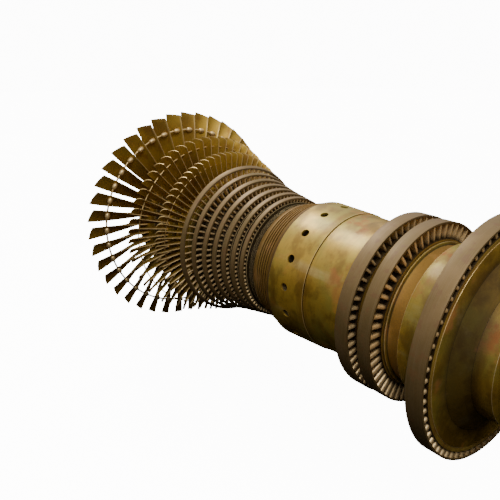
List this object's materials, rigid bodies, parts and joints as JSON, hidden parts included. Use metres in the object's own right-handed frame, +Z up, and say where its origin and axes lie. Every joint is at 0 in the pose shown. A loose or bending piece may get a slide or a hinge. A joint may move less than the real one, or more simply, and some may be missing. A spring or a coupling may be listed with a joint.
{
  "type": "steam turbine rotor",
  "caption": "Steam turbine rotor: a forged shaft and drum with long free-standing exhaust blades, shrouded drum rows, a ridged seal, smooth drums and wheel rows.",
  "frame": {"origin": "middle of the coupling's flat face at the inlet end of the shaft", "axes": "+X along the shaft from the exhaust end to the inlet end, +Z up as the rotor lies in its bearings"},
  "size_m": [4.62, 1.5987, 1.5974],
  "materials": {
    "forged_steel": "oiled forged steel with a thin gold-brown film and rust stains",
    "blade_steel": "dark bronze-coloured blade steel with bright worn edges",
    "shroud_steel": "pale tan turned steel",
    "coupling_steel": "machined steel, lightly oxidised"
  },
  "bodies": {
    "root": {"rotor_forging": "forged_steel", "coupling_hub": "coupling_steel", "thrust_collar": "coupling_steel", "last_stage_blades": "blade_steel", "third_row_blades": "blade_steel", "second_row_blades": "blade_steel", "drum_row_1_blades": "blade_steel", "drum_row_1_shroud": "shroud_steel", "drum_row_2_blades": "blade_steel", "drum_row_2_shroud": "shroud_steel", "drum_row_3_blades": "blade_steel", "drum_row_3_shroud": "shroud_steel", "drum_row_4_blades": "blade_steel", "drum_row_4_shroud": "shroud_steel", "drum_row_5_blades": "blade_steel", "drum_row_5_shroud": "shroud_steel", "drum_row_6_blades": "blade_steel", "drum_row_6_shroud": "shroud_steel", "drum_row_7_blades": "blade_steel", "drum_row_7_shroud": "shroud_steel", "first_wheel_blades": "blade_steel", "first_wheel_shroud": "shroud_steel", "second_wheel_blades": "blade_steel", "second_wheel_shroud": "shroud_steel", "control_wheel_blades": "blade_steel", "control_wheel_shroud": "shroud_steel"}
  },
  "joints": []
}
